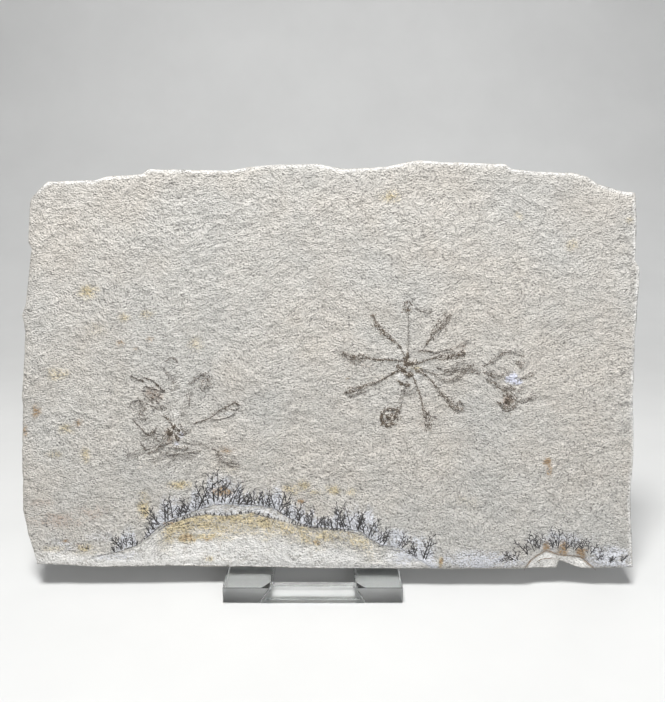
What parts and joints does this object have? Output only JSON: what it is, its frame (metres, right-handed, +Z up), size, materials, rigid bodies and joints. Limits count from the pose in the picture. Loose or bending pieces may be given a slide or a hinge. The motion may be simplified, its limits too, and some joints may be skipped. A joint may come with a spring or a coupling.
{
  "type": "crinoid fossil slab on a display stand",
  "caption": "Thin limestone plate with feathery crinoid fossils and dendrites, leaning on a clear acrylic stand.",
  "frame": {"origin": "middle of the bounding box's footprint, on the ground plane the stand rests on", "axes": "+X to the right as seen from the front, along the plate's length; +Y towards the back, the way the plate leans; +Z up"},
  "size_m": [0.248, 0.066, 0.1675],
  "materials": {
    "limestone": "matte, fine grained",
    "clear_rail": "polished clear acrylic",
    "clear_arm_left": "polished clear acrylic",
    "clear_arm_right": "polished clear acrylic",
    "clear_rest": "polished clear acrylic",
    "clear_brace_left": "polished clear acrylic",
    "clear_brace_right": "polished clear acrylic"
  },
  "bodies": {
    "root": {"limestone_slab": "limestone", "stand_rail": "clear_rail", "stand_arm_left": "clear_arm_left", "stand_arm_right": "clear_arm_right", "stand_rest": "clear_rest", "stand_brace_left": "clear_brace_left", "stand_brace_right": "clear_brace_right"}
  },
  "joints": []
}
